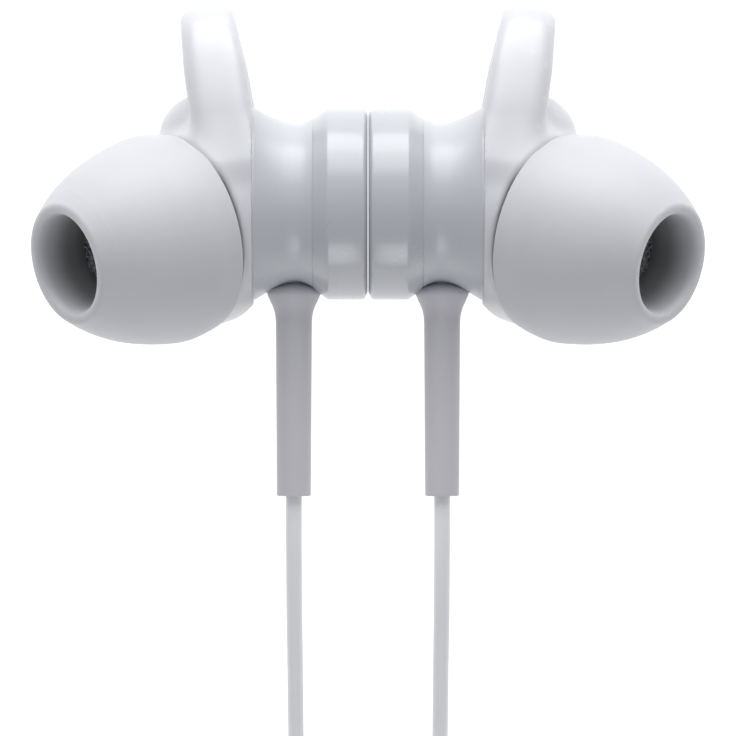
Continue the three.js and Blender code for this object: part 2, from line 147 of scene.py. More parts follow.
def through(points, steps=8):
    """A centripetal Catmull-Rom curve through the points, in as many dimensions as they have."""
    points = np.array(points, float)
    ends = 2 * points[0] - points[1], 2 * points[-1] - points[-2]
    points = np.concatenate([[ends[0]], points, [ends[1]]])
    made = []
    for p0, p1, p2, p3 in zip(points, points[1:], points[2:], points[3:]):
        k1, k2, k3 = np.cumsum([np.linalg.norm(b - a) ** 0.5 for a, b in ((p0, p1), (p1, p2), (p2, p3))])
        for t in np.linspace(k1, k2, steps, endpoint=False):
            a1 = (k1 - t) / k1 * p0 + t / k1 * p1
            a2 = (k2 - t) / (k2 - k1) * p1 + (t - k1) / (k2 - k1) * p2
            a3 = (k3 - t) / (k3 - k2) * p2 + (t - k2) / (k3 - k2) * p3
            b1 = (k2 - t) / k2 * a1 + t / k2 * a2
            b2 = (k3 - t) / (k3 - k1) * a2 + (t - k1) / (k3 - k1) * a3
            made.append((k2 - t) / (k2 - k1) * b1 + (t - k1) / (k2 - k1) * b2)
    made.append(points[-2])
    return np.array(made)


def smooth(t):
    """0 below 0, 1 above 1, and an even ease between them."""
    t = np.clip(t, 0, 1)
    return t * t * (3 - 2 * t)


def turned(profile, sides=96, closed=False):
    """An outline of (along, radius) turned about +X."""
    angles = np.linspace(0, 2 * math.pi, sides, endpoint=False)
    rings = [[[along, r * math.cos(a), r * math.sin(a)] for a in angles] for along, r in profile]
    points = np.array(rings).reshape(-1, 3)
    return points, grid_faces(len(profile), sides, closed)


def aimed(points, origin, direction):
    """Points made along +X, turned to point along direction from origin."""
    turn = Vector((1, 0, 0)).rotation_difference(Vector(direction)).to_matrix()
    return np.asarray(points) @ np.array(turn).T + np.array(origin)


def swept(path, ring, scale=None, up=(0, 0, 1)):
    """A ring of (across, up) points carried along a path. scale gives each stop's size."""
    path, ring, up = np.array(path, float), np.array(ring, float), np.array(up, float)
    tangents = np.gradient(path, axis=0)
    tangents /= np.linalg.norm(tangents, axis=1)[:, None]
    scale = np.ones(len(path)) if scale is None else np.array(scale)
    rings = []
    for point, tangent, size in zip(path, tangents, scale):
        across = np.cross(tangent, up)
        across /= np.linalg.norm(across)
        lift = np.cross(across, tangent)
        rings.append(point + size * (ring[:, :1] * across + ring[:, 1:] * lift))
    return np.concatenate(rings), grid_faces(len(path), len(ring))


def oval(half_across, half_up, sides, power=2.0):
    """A ring: an ellipse at power 2, and squarer above it."""
    angles = np.linspace(0, 2 * math.pi, sides, endpoint=False)
    c, s = np.cos(angles), np.sin(angles)
    across = half_across * np.sign(c) * abs(c) ** (2 / power)
    up = half_up * np.sign(s) * abs(s) ** (2 / power)
    return np.stack([across, up], 1)


# ---------------------------------------------------------------- distance fields


def merged(a, b, soft):
    """The union of two fields, with a fillet of about soft."""
    h = np.clip(0.5 + 0.5 * (b - a) / soft, 0, 1)
    return b + (a - b) * h - soft * h * (1 - h)


def cut(a, b, soft=0.25):
    """What two fields share, with the edge rounded by about soft."""
    return -merged(-a, -b, soft)


def egg_field(p, middle, halves):
    """About the distance to an ellipsoid."""
    q = (p - middle) / halves
    k0, k1 = np.linalg.norm(q, axis=-1), np.linalg.norm(q / halves, axis=-1)
    return k0 * (k0 - 1) / np.maximum(k1, 1e-9)


def rod_field(p, foot, direction, start, end, radius):
    """The distance to a cylinder along a direction, between two distances from its foot."""
    q = p - foot
    along = q @ direction
    out = np.linalg.norm(q - along[..., None] * direction, axis=-1)
    d = np.stack([out - radius, np.maximum(start - along, along - end)], -1)
    return np.minimum(d.max(-1), 0) + np.linalg.norm(np.maximum(d, 0), axis=-1)


CORNERS = [(i, j, k) for i in (0, 1) for j in (0, 1) for k in (0, 1)]


def at_corner(values, corner):
    """The values at the same corner of every grid cell."""
    i, j, k = corner
    cells_x, cells_y, cells_z = (n - 1 for n in values.shape[:3])
    return values[i : i + cells_x, j : j + cells_y, k : k + cells_z]


def cell_crossings(grid, value):
    """For each grid cell, the sum of the places on its edges where the field is 0, and their number."""
    shape = np.array(value.shape) - 1
    total, count = np.zeros((*shape, 3)), np.zeros(shape)
    for near in CORNERS:
        for axis in range(3):
            if near[axis]:
                continue
            far = tuple(near[n] + (n == axis) for n in range(3))
            here, there = at_corner(value, near), at_corner(value, far)
            crosses = (here < 0) != (there < 0)
            share = np.where(crosses, here / np.where(crosses, here - there, 1), 0)[..., None]
            place = at_corner(grid, near) * (1 - share) + at_corner(grid, far) * share
            total += np.where(crosses[..., None], place, 0)
            count += crosses
    return total, count


def cell_faces(inside, number):
    """A quad round each grid edge that leaves the inside, from the points of the edge's four cells."""
    faces = []
    for axis in range(3):
        u, v = (axis + 1) % 3, (axis + 2) % 3
        first = [slice(1, -1)] * 3
        first[axis] = slice(0, -1)
        second = list(first)
        second[axis] = slice(1, None)
        spots = np.argwhere(inside[tuple(first)] != inside[tuple(second)])
        spots[:, u] += 1
        spots[:, v] += 1
        ring = []
        for du, dv in ((1, 1), (0, 1), (0, 0), (1, 0)):
            cell = spots.copy()
            cell[:, u] -= du
            cell[:, v] -= dv
            ring.append(number[tuple(cell.T)])
        faces.append(np.stack(ring, 1))
    return np.concatenate(faces).tolist()


def drawn_onto(field, points, step, rounds=3):
    """The points moved along the field's slope to where it is 0, by no more than half a step at a time."""
    nudge = step / 20
    for _ in range(rounds):
        here = field(points)
        slope = np.stack([field(points + nudge * e) - here for e in np.eye(3)], 1) / nudge
        push = here / np.maximum((slope**2).sum(1), 0.2)
        points = points - np.clip(push, -step / 2, step / 2)[:, None] * slope
    return points


def skin_of(field, low, high, step):
    """The surface where a field is 0, as quads, with one point in each grid cell that it crosses."""
    axes = [np.arange(a, b + step, step) for a, b in zip(low, high)]
    grid = np.stack(np.meshgrid(*axes, indexing="ij"), -1)
    value = field(grid)
    total, count = cell_crossings(grid, value)
    active = count > 0
    number = np.full(active.shape, -1)
    number[active] = np.arange(active.sum())
    points = total[active] / count[active][:, None]
    return drawn_onto(field, points, step), cell_faces(value < 0, number)


# ---------------------------------------------------------------- materials


CLOUD_SCALE = 140  # the noises' scales, in waves a metre
GLOSS_SCALE = 300
GRAIN_SCALE = 5000
GRAIN_DEPTH = 0.00004


def noise(tree, coordinates, scale, detail=2.0):
    """A noise's value, from 0 to 1."""
    node = tree.nodes.new("ShaderNodeTexNoise")
    node.inputs["Scale"].default_value = scale
    node.inputs["Detail"].default_value = detail
    tree.links.new(coordinates, node.inputs["Vector"])
    return node.outputs["Fac"]


def ranged(tree, value, low, high, to_low, to_high):
    """A value eased from one range into another."""
    node = tree.nodes.new("ShaderNodeMapRange")
    node.interpolation_type = "SMOOTHSTEP"
    for name, number in (("From Min", low), ("From Max", high), ("To Min", to_low), ("To Max", to_high)):
        node.inputs[name].default_value = number
    tree.links.new(value, node.inputs["Value"])
    return node.outputs["Result"]


def between(tree, share, first, second):
    """A colour between two, each a colour or a socket."""
    node = tree.nodes.new("ShaderNodeMix")
    node.data_type = "RGBA"
    tree.links.new(share, node.inputs["Factor"])
    for socket, colour in ((node.inputs["A"], first), (node.inputs["B"], second)):
        if isinstance(colour, tuple):
            socket.default_value = (*colour, 1)
        else:
            tree.links.new(colour, socket)
    return node.outputs["Result"]


def scaled(colour, factor):
    return tuple(min(1.0, c * factor) for c in colour)


def moulded(name, colour, roughness, grain=0.1, grain_scale=GRAIN_SCALE, mottle=0.03, **shader_values):
    """A plastic or silicone with a faintly clouded colour, uneven gloss, fine grain and paler worn edges."""
    material = bpy.data.materials.new(name)
    material.use_nodes = True
    tree = material.node_tree
    shader = tree.nodes["Principled BSDF"]
    place = tree.nodes.new("ShaderNodeTexCoord").outputs["Object"]
    clouds = ranged(tree, noise(tree, place, CLOUD_SCALE, 3), 0.2, 0.8, 0, 1)
    body = between(tree, clouds, scaled(colour, 1 - mottle), scaled(colour, 1 + mottle / 2))
    pointed = tree.nodes.new("ShaderNodeNewGeometry").outputs["Pointiness"]
    worn = between(tree, ranged(tree, pointed, 0.5, 0.64, 0, 0.5), body, scaled(colour, 1.08))
    tree.links.new(worn, shader.inputs["Base Color"])
    uneven = noise(tree, place, GLOSS_SCALE, 4)
    gloss = ranged(tree, uneven, 0.15, 0.85, roughness - 0.05, roughness + 0.06)
    tree.links.new(gloss, shader.inputs["Roughness"])
    bump = tree.nodes.new("ShaderNodeBump")
    bump.inputs["Strength"].default_value = grain
    bump.inputs["Distance"].default_value = GRAIN_DEPTH
    tree.links.new(noise(tree, place, grain_scale, 2), bump.inputs["Height"])
    tree.links.new(bump.outputs["Normal"], shader.inputs["Normal"])
    for socket, value in shader_values.items():
        shader.inputs[socket.replace("_", " ")].default_value = value
    return material


def with_painted_shade(material, attribute, colour):
    """The material turned to a colour where the mesh's attribute is 1, as painted shade: darker where the
    attribute is higher.
    """
    tree = material.node_tree
    base = tree.nodes["Principled BSDF"].inputs["Base Color"]
    share = tree.nodes.new("ShaderNodeAttribute")
    share.attribute_name = attribute
    tree.links.new(between(tree, share.outputs["Fac"], base.links[0].from_socket, colour), base)
    return material


def metal(name, colour, roughness, scratch_scale=2600):
    """A metal with fine drawn scratches and slightly uneven tarnish."""
    material = moulded(name, colour, roughness, grain=0.2, grain_scale=scratch_scale, mottle=0.08)
    material.node_tree.nodes["Principled BSDF"].inputs["Metallic"].default_value = 1.0
    return material


SHELL = (0.435, 0.447, 0.478)
BUD_SHELL = scaled(SHELL, 1.06)
SILICONE = (0.5, 0.505, 0.53)
BUTTON = scaled(SILICONE, 0.85)
WING = (0.55, 0.556, 0.583)
JACKET = (0.53, 0.525, 0.557)
# The thin cord's colour, paler than JACKET: painted light for how much brighter the cord looks.
LIT_CORD_COLOUR = (0.75, 0.75, 0.765)
# The colour the tip's bore turns to well in: partly the tip's darker core, partly painted shade deepening into the
# hole.
BORE_SHADE = (0.17, 0.17, 0.175)
WOVEN_STEEL = (0.25, 0.25, 0.26)
NICKEL = (0.72, 0.73, 0.74)
PLATED_STEEL = (0.6, 0.61, 0.63)
SPRING_STEEL = (0.5, 0.5, 0.52)
FOIL = (0.7, 0.7, 0.72)
BLACK = (0.02, 0.02, 0.022)
SHEATH = (0.03, 0.03, 0.035)
BOARD_GREEN = (0.02, 0.12, 0.07)
CLEAR_BLUE = (0.75, 0.8, 0.9)


def coat(weight, roughness):
    """A clear coat's shader values."""
    return {"Coat_Weight": weight, "Coat_Roughness": roughness}


def depth(weight=0.2, radius=0.0006):
    """The shader values of a plastic that light goes a little way into."""
    return {"Subsurface_Weight": weight, "Subsurface_Radius": (radius,) * 3, "Subsurface_Scale": 1.0}


# The cords' material, made paler than the jacket's by painted light.
LIT_THIN_CORD = moulded("lit_thin_cord", LIT_CORD_COLOUR, 0.5, grain=0.12, grain_scale=3500)
LOOKS = {
    "disc_gloss": moulded("disc_gloss", SHELL, 0.3, grain=0.03, **coat(0.6, 0.2)),
    "bud_shell": moulded("bud_shell", BUD_SHELL, 0.36, grain=0.05, **coat(0.4, 0.3)),
    "pod_shell": moulded("pod_shell", SHELL, 0.32, grain=0.06, **coat(0.3, 0.22)),
    # The ear tip's silicone, with painted shade deepening into its bore along the mesh's depth attribute.
    "tip_silicone": with_painted_shade(moulded("tip_silicone", SILICONE, 0.5, grain=0.06, **depth()), "depth", BORE_SHADE),
    "wing_silicone": moulded("wing_silicone", WING, 0.36, grain=0.06, **coat(0.8, 0.35)),
    "band_silicone": moulded("band_silicone", SILICONE, 0.52, grain=0.15, **depth()),
    "cord_jacket": moulded("cord_jacket", JACKET, 0.5, grain=0.12, grain_scale=3500),
    "button_rubber": moulded("button_rubber", BUTTON, 0.55, grain=0.15),
    "steel_mesh": metal("steel_mesh", WOVEN_STEEL, 0.45),
    "magnet_nickel": metal("magnet_nickel", NICKEL, 0.18),
    "driver_can": metal("driver_can", PLATED_STEEL, 0.35),
    "spring_steel": metal("spring_steel", SPRING_STEEL, 0.3),
    "harness_sheath": moulded("harness_sheath", SHEATH, 0.5),
    "circuit_board": moulded("circuit_board", BOARD_GREEN, 0.4, grain=0.2, grain_scale=2500, mottle=0.3),
    "cell_foil": metal("cell_foil", FOIL, 0.3, 900),
    "switch_black": moulded("switch_black", BLACK, 0.45),
    "port_steel": metal("port_steel", PLATED_STEEL, 0.25),
    "light_pipe": moulded("light_pipe", CLEAR_BLUE, 0.2, Transmission_Weight=0.4),
}


def finish_nodes():
    """Gives every CAD node its slot's material."""
    for part in frame["record"]["subparts"]:
        node = frame["nodes"][part["node"]]
        node.data.materials.clear()
        node.data.materials.append(LOOKS[part["material_slot"]])


def placed(obj, body, slot_name, *nodes):
    """Rides the piece on its body, in place of CAD nodes."""
    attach(obj, body)
    if nodes:
        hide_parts(*nodes)
    return obj


# ---------------------------------------------------------------- camera and light

VIEW_WIDTH = 49.07 * MM  # what the picture's width shows at the height of the clasp axis
VIEW_BELOW = 10.95 * MM  # how far the picture's middle lies on the pods' side of the clasp axis
LENS = 250
SENSOR = 36
ROOM_COLOUR = (0.95, 0.97, 1.0, 1)
ROOM_STRENGTH = 0.45


def make_camera():
    """A long lens straight above the buds, with the arch's side up."""
    data = bpy.data.cameras.new("camera")
    data.lens = LENS
    data.sensor_width = SENSOR
    data.clip_start = 0.01
    data.clip_end = 100
    camera = bpy.data.objects.new("camera", data)
    camera.location = (0, AXIS_Y - VIEW_BELOW, AXIS_Z + VIEW_WIDTH * LENS / SENSOR)
    bpy.context.scene.collection.objects.link(camera)
    bpy.context.scene.camera = camera


def area_light(name, size, power, place):
    """A rectangular softbox at a place, aimed at the origin."""
    data = bpy.data.lights.new(name, "AREA")
    data.shape = "RECTANGLE"
    data.size, data.size_y = size
    data.energy = power
    light = bpy.data.objects.new(name, data)
    light.location = place
    light.rotation_euler = (-Vector(place)).to_track_quat("-Z", "Y").to_euler()
    bpy.context.scene.collection.objects.link(light)


def make_light():
    """A key of two low softboxes on the arch's side, a weak fill on the pods' side, and an even pale room."""
    world = bpy.data.worlds.new("studio")
    bpy.context.scene.world = world
    world.use_nodes = True
    room = world.node_tree.nodes["Background"]
    room.inputs["Color"].default_value = ROOM_COLOUR
    room.inputs["Strength"].default_value = ROOM_STRENGTH
    area_light("key_low", (1.0, 0.34), 4.8, (0, 0.7, 0.17))
    area_light("key_high", (1.0, 0.36), 3.0, (0, 0.6, 0.5))
    area_light("fill", (0.35, 0.32), 0.95, (0, -0.62, 0.3))
    bpy.context.scene.view_settings.view_transform = "Standard"


FLOOR_REACH = 6.0
FLOOR_Z = -0.05 * MM
WALL_HEIGHT = 0.48
PAPER = (0.4, 0.4, 0.4)
PAPER_GLOW = 0.88


def paper():
    """Matt paper, lit evenly from behind."""
    made = moulded("paper", PAPER, 0.8, grain=0.05, grain_scale=900, mottle=0.004)
    shader = made.node_tree.nodes["Principled BSDF"]
    shader.inputs["Specular IOR Level"].default_value = 0.0
    shader.inputs["Emission Color"].default_value = (1, 1, 1, 1)
    shader.inputs["Emission Strength"].default_value = PAPER_GLOW
    return made


def make_floor():
    """A pale sheet that shows next to no shadow, like a light table, with a low far wall round it."""
    rim = [(-FLOOR_REACH, -FLOOR_REACH), (FLOOR_REACH, -FLOOR_REACH)]
    rim += [(FLOOR_REACH, FLOOR_REACH), (-FLOOR_REACH, FLOOR_REACH)]
    points = [(x, y, FLOOR_Z) for x, y in rim] + [(x, y, WALL_HEIGHT) for x, y in rim]
    faces = [(0, 1, 2, 3)] + [(i, i + 4, (i + 1) % 4 + 4, (i + 1) % 4) for i in range(4)]
    data = bpy.data.meshes.new("floor")
    data.from_pydata(points, [], faces)
    data.materials.append(paper())
    floor = bpy.data.objects.new("floor", data)
    bpy.context.scene.collection.objects.link(floor)


# ---------------------------------------------------------------- cords

# The route of the right bud's cord in metres: out of the strain relief, down to the surface, round and into
# the pod's nose. x is from the middle plane, y from the clasp axis and z from the surface.
CORD_ROUTE = [
    (0.00494, -0.0198, 0.00675),
    (0.00494, -0.0230, 0.0066),
    (0.00493, -0.0270, 0.0055),
    (0.00490, -0.0310, 0.0037),
    (0.00488, -0.0350, 0.0020),
    (0.00486, -0.0400, 0.00085),
    (0.0049, -0.0470, 0.0006),
    (0.0050, -0.0640, 0.0006),
    (0.0053, -0.0830, 0.0006),
    (0.0059, -0.1010, 0.0006),
    (0.0076, -0.1140, 0.0006),
    (0.0120, -0.1265, 0.0006),
    (0.0205, -0.1355, 0.0006),
    (0.0315, -0.1390, 0.0006),
    (0.0430, -0.1365, 0.0006),
    (0.0525, -0.1290, 0.0006),
    (0.0585, -0.1175, 0.0007),
    (0.0607, -0.1055, 0.0013),
    (0.0610, -0.0960, 0.0024),
    (0.0610, -0.0876, 0.0028),
]
CORD_RADIUS = 0.000525
CORD_TUCK = 0.001  # how far the cord runs on inside the strain relief and the pod's nose


def make_cord(side):
    """A bud's cord, from its strain relief down and round into the pod's nose."""
    tuck = np.array([0, CORD_TUCK, 0])
    route = np.array([CORD_ROUTE[0] + tuck, *CORD_ROUTE, CORD_ROUTE[-1] + tuck])
    path = through(route * [SIDES[side], 1, 1] + [0, AXIS_Y, 0], 12)
    points, faces = swept(path, oval(CORD_RADIUS, CORD_RADIUS, 20))
    cord = mesh_object(f"cord_{side}", points, faces, LIT_THIN_CORD)
    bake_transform(cord)
    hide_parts(f"bud_cord_{side}")


# ---------------------------------------------------------------- buds

CLASP_AXIS = np.array([1.0, 0, 0])
TIP_AXIS = np.array(JOINTS["right_tip_pull_off"]["axis"])
CORD_CROSSING = (4.94, 0, 0)  # where the cord's line meets the clasp axis
CORD_DIRECTION = (0, -1, 0)

# The egg and barrel round the driver, and the nozzle.
EGG = np.array([10.6, -1.2, 0])
EGG_HALVES = np.array([4.6, 6.75, 6.6])
BARREL_START, BARREL_END, BARREL_RADIUS = 4.0, 9.6, 6.4
FRONT_FILLET = 1.2
NOZZLE_FOOT = np.array([9.6, -1.2, 0])
NOZZLE_START, NOZZLE_END, NOZZLE_RADIUS = 2.0, 9.75, 2.3
NOZZLE_LIP_START, NOZZLE_LIP_RADIUS = 9.0, 2.5
NOZZLE_BORE_START, NOZZLE_BORE_RADIUS = 7.0, 1.75
NOZZLE_FILLET, LIP_FILLET = 0.9, 0.2
GRILLE_SPOT, GRILLE_RADIUS, GRILLE_WIRES, GRILLE_WIRE = 9.9, 2.1, 13, 0.055
HOUSING_BOX = (7.2, -8.2, -7.0), (18.4, 5.6, 8.0)
HOUSING_STEP = 0.25

# The sleeve with its wing.
SLEEVE_WALL = 0.6
HOUSING_GAP = 0.06  # between the sleeve and the housing in it
SLEEVE_EDGE = 7.62  # along the clasp axis
SLEEVE_FRONT = 3.05  # along the nozzle's axis, just behind the ear tip's rim
SLEEVE_COLLAR_START, SLEEVE_COLLAR_END, SLEEVE_COLLAR_RADIUS = 1.2, 5, 6.15
WING_ROOT = np.array([11.0, 4.4, 0])
WING_ROOT_HALVES = np.array([2.9, 2.9, 2.9])
WING_SIDE = [(2.5, 4.9), (5.0, 4.5), (7.6, 3.7), (10.0, 2.6), (11.7, 1.3)]
WING_TOP = (12.3, 0)
WING_LEAN = math.radians(9.4)
WING_FOOT = np.array([9.4, 4.4, 0])
WING_HEIGHTS = (6, 9, 13)
WING_HALF_WIDTHS = (2.1, 2.05, 1.75)
WING_HALF_THICK = 1.1
WING_SQUARENESS = 2.6
WING_FILLET, ROOT_FILLET = 1.6, 1.0
FRONT_ROUND, EDGE_ROUND, INSIDE_ROUND = 0.3, 0.08, 0.1
SLEEVE_BOX = (7.2, -8.9, -7.6), (15.6, 14.2, 7.9)
SLEEVE_STEP = 0.18

# Outlines of turned pieces, as (along, radius).
BUD_SIDES, CORD_SIDES = 128, 64
DISC_FACE = [(0.15, 0), (0.15, 4.9), (0.03, 5.05), (0.03, 5.95), (0.24, 6.33), (0.4, 6.39)]
DISC_BEVEL = [(2.5, 6.39), (2.66, 6.37), (2.8, 6.29), (3.25, 5.98), (3.66, 5.71)]
DISC_BACK = [(3.69, 5.66), (3.69, 0)]
WAIST_FRONT = [(3.5, 0), (3.5, 5.7)]
WAIST_LINE = [(3.62, 5.7), (3.9, 5.56), (4.25, 5.42), (4.69, 5.34), (5.4, 5.42), (6.1, 5.65), (6.8, 5.97)]
WAIST_BACK = [(7.55, 6.4), (7.7, 6.4), (7.8, 6.3), (7.8, 0)]
FLARE_FOOT = [(4.6, 0), (4.6, 0.9)]
FLARE_LINE = [(5.3, 0.9), (5.5, 1.4), (5.7, 1.7), (5.95, 1.78)]
FLARE_LINE += [(6.4, 1.62), (6.9, 1.39), (7.4, 1.25), (7.8, 1.21)]
FLARE_END = [(7.84, 0)]
RELIEF = [(7.7, 0), (7.7, 1.2), (19.48, 1.13), (19.48, 0.6), (19.2, 0.55), (19.2, 0)]

# The ear tip's outline, from its rim over the dome, in at the mouth and back under the dome.
TIP_RIM = 3.5  # how far the rim lies along the nozzle's axis
TIP_DOME = [(0, 6.66), (0.8, 6.84), (2.0, 6.97), (3.4, 6.78)]
TIP_DOME += [(4.8, 6.45), (6.2, 5.98), (7.5, 5.35), (8.5, 4.72)]
TIP_MOUTH = [(8.5, 4.72), (9.1, 4.26), (9.42, 3.98), (9.5, 3.7)]
TIP_MOUTH += [(9.42, 3.44), (9.1, 3.27), (8.3, 3.14), (6.9, 2.82)]
TIP_TUBE = [(6.6, 2.72), (2.1, 2.72), (2.0, 2.9), (2.0, 3.3), (2.1, 3.45)]
TIP_UNDER = [(6.2, 3.45), (7.0, 3.75), (7.3, 4.3), (6.8, 4.95)]
TIP_UNDER += [(6.0, 5.4), (4.6, 5.92), (2.6, 6.32), (0.1, 6.3)]
TIP_ROLL = [(-0.06, 6.38), (-0.06, 6.54)]
# Where the bore's painted shade starts at the mouth, how far in it takes to deepen fully, and the bore's radius.
BORE_MOUTH, BORE_FADE, BORE_RADIUS = 9.4, 2.4, 3.48


def body_piece(name, shape, side, look, *nodes):
    """A piece of a bud, from (points, faces) in the bud's millimetres."""
    points, faces = shape
    obj = mesh_object(f"{name}_{side}", in_frame(points, side), faces, LOOKS[look])
    return placed(obj, f"{side}_bud", look, *[f"{node}_{side}" for node in nodes])


def disc_shape():
    """The end disc, with a dished face, a bevel for the groove between the discs, and one at the waist."""
    return turned([*rounded(DISC_FACE, 0.1), *through(DISC_BEVEL, 4), *DISC_BACK], BUD_SIDES)


def waist_shape():
    """The concave waist, from inside the disc to under the sleeve's edge."""
    line = through([*WAIST_LINE, WAIST_BACK[0]])
    return turned([*WAIST_FRONT, *line, *WAIST_BACK[1:]], BUD_SIDES)


def flare_shape():
    """The flare that seats the strain relief just under the waist."""
    points, faces = turned([*FLARE_FOOT, *through(FLARE_LINE), *FLARE_END], CORD_SIDES)
    return aimed(points, CORD_CROSSING, CORD_DIRECTION), faces


def relief_shape():
    """The strain relief, a slim tapering rod with the cord's hole in its end."""
    points, faces = turned(rounded(RELIEF, 0.12), CORD_SIDES)
    return aimed(points, CORD_CROSSING, CORD_DIRECTION), faces


WING_ARCH = through([*[(y, -z) for y, z in WING_SIDE], WING_TOP, *WING_SIDE[::-1]], 6)


def arch_distance(up, depth):
    """The distance to the middle line of the wing's arch."""
    nearest = np.full(up.shape, np.inf)
    for (y0, z0), (y1, z1) in zip(WING_ARCH, WING_ARCH[1:]):
        dy, dz = y1 - y0, z1 - z0
        t = np.clip(((up - y0) * dy + (depth - z0) * dz) / (dy * dy + dz * dz), 0, 1)
        nearest = np.minimum(nearest, np.hypot(up - y0 - t * dy, depth - z0 - t * dz))
    return nearest


def wing_field(p):
    """The wing loop: a rounded ribbon along an arch that leans outwards, wider at its foot."""
    q = p - WING_FOOT
    across = q[..., 0] * math.cos(WING_LEAN) - q[..., 1] * math.sin(WING_LEAN)
    up = q[..., 0] * math.sin(WING_LEAN) + q[..., 1] * math.cos(WING_LEAN) + WING_FOOT[1]
    wide = np.abs(across) / np.interp(up, WING_HEIGHTS, WING_HALF_WIDTHS)
    thick = arch_distance(up, q[..., 2]) / WING_HALF_THICK
    size = (wide**WING_SQUARENESS + thick**WING_SQUARENESS) ** (1 / WING_SQUARENESS)
    return size * WING_HALF_THICK - WING_HALF_THICK


def front_field(p, inset):
    """The egg and barrel round the driver."""
    egg = egg_field(p, EGG, EGG_HALVES - inset)
    barrel = rod_field(p, np.zeros(3), CLASP_AXIS, BARREL_START, BARREL_END - inset, BARREL_RADIUS - inset)
    return merged(egg, barrel, FRONT_FILLET)


def nozzle_rod(p, start, end, radius):
    """The distance to a cylinder on the nozzle's axis."""
    return rod_field(p, NOZZLE_FOOT, TIP_AXIS, start, end, radius)


def sleeve_field(p):
    """The sleeve with its wing, over the front of the bud."""
    root = egg_field(p, WING_ROOT, WING_ROOT_HALVES)
    collar = nozzle_rod(p, SLEEVE_COLLAR_START, SLEEVE_COLLAR_END, SLEEVE_COLLAR_RADIUS)
    skin = merged(merged(front_field(p, 0), root, ROOT_FILLET), collar, ROOT_FILLET)
    skin = cut(skin, (p - NOZZLE_FOOT) @ TIP_AXIS - SLEEVE_FRONT, FRONT_ROUND)
    skin = merged(skin, wing_field(p), WING_FILLET)
    skin = cut(skin, SLEEVE_EDGE - p[..., 0], EDGE_ROUND)
    return cut(skin, -front_field(p, SLEEVE_WALL), INSIDE_ROUND)


def housing_field(p):
    """The front shell with its nozzle, whose mouth has a raised lip."""
    shell = cut(front_field(p, SLEEVE_WALL + HOUSING_GAP), SLEEVE_EDGE - p[..., 0], INSIDE_ROUND)
    nozzle = nozzle_rod(p, NOZZLE_START, NOZZLE_END, NOZZLE_RADIUS)
    lip = nozzle_rod(p, NOZZLE_LIP_START, NOZZLE_END, NOZZLE_LIP_RADIUS)
    shell = merged(shell, merged(nozzle, lip, LIP_FILLET), NOZZLE_FILLET)
    bore = nozzle_rod(p, NOZZLE_BORE_START, 2 * NOZZLE_END, NOZZLE_BORE_RADIUS)
    return cut(shell, -bore, INSIDE_ROUND)


def tip_shape():
    """The ear tip: a dome with a rolled rim and mouth, folded back round the tube that grips the nozzle."""
    outer = [*through(TIP_DOME)[:-1], *through(TIP_MOUTH)]
    inner = [*TIP_TUBE, *through(TIP_UNDER), *TIP_ROLL]
    points, faces = turned(np.array([*outer, *inner]), BUD_SIDES, closed=True)
    return aimed(points + [TIP_RIM, 0, 0], NOZZLE_FOOT, TIP_AXIS), faces


def mark_bore_shade(tip, side):
    """Stores how deep each point of the tip's bore lies, for the bore's painted shade: 0 at the mouth and outside
    it, 1 well in.
    """
    values = np.empty(3 * len(tip.data.vertices))
    tip.data.vertices.foreach_get("co", values)
    points = (values.reshape(-1, 3) - [0, AXIS_Y, AXIS_Z]) / MM * [SIDES[side], 1, 1] - NOZZLE_FOOT
    along = points @ TIP_AXIS
    out = np.linalg.norm(points - along[:, None] * TIP_AXIS, axis=1)
    depth = np.where(out < BORE_RADIUS, smooth((TIP_RIM + BORE_MOUTH - along) / BORE_FADE), 0)
    attribute = tip.data.attributes.new("depth", "FLOAT", "POINT")
    attribute.data.foreach_set("value", depth.astype(np.float32))


def woven_shape(radius, count, wire):
    """A round piece of woven wire about the origin, facing +X, in a thin ring."""
    rim = [(-wire, radius), (-wire, radius + 2 * wire), (wire, radius + 2 * wire), (wire, radius)]
    parts = [turned(rim, 40, True)]
    pitch = 2 * radius / count
    for row in range(count):
        offset = (row + 0.5) * pitch - radius
        reach = math.sqrt(radius**2 - offset**2)
        along = np.linspace(-reach, reach, 4 * count)
        wave = wire * np.sin(along / pitch * math.pi + row * math.pi)
        level = np.full_like(along, offset)
        for path in (np.stack([wave, along, level], 1), np.stack([-wave, level, along], 1)):
            parts.append(swept(path, oval(wire, wire, 6), up=(1, 0, 0)))
    return joined_faces(parts)


def make_bud(side, sleeve, housing):
    """A bud's visible pieces. The sleeve and housing are shapes that both buds share."""
    body_piece("disc", disc_shape(), side, "disc_gloss", "magnet_cap")
    body_piece("waist", waist_shape(), side, "bud_shell", "rear_shell")
    body_piece("flare", flare_shape(), side, "cord_jacket", "cord_collar")
    body_piece("relief", relief_shape(), side, "cord_jacket", "strain_relief")
    body_piece("sleeve", sleeve, side, "wing_silicone", "wing_sleeve")
    body_piece("housing", housing, side, "bud_shell", "front_shell")
    points, faces = woven_shape(GRILLE_RADIUS, GRILLE_WIRES, GRILLE_WIRE)
    grille = aimed(points, NOZZLE_FOOT + GRILLE_SPOT * TIP_AXIS, TIP_AXIS), faces
    body_piece("grille", grille, side, "steel_mesh", "nozzle_mesh")
    points, faces = tip_shape()
    tip = mesh_object(f"tip_{side}", in_frame(points, side), faces, LOOKS["tip_silicone"])
    # The depth attribute sets how much painted shade the bore's wall gets.
    mark_bore_shade(tip, side)
    placed(tip, f"{side}_tip", "tip_silicone", f"ear_tip_{side}")


# ---------------------------------------------------------------- collar

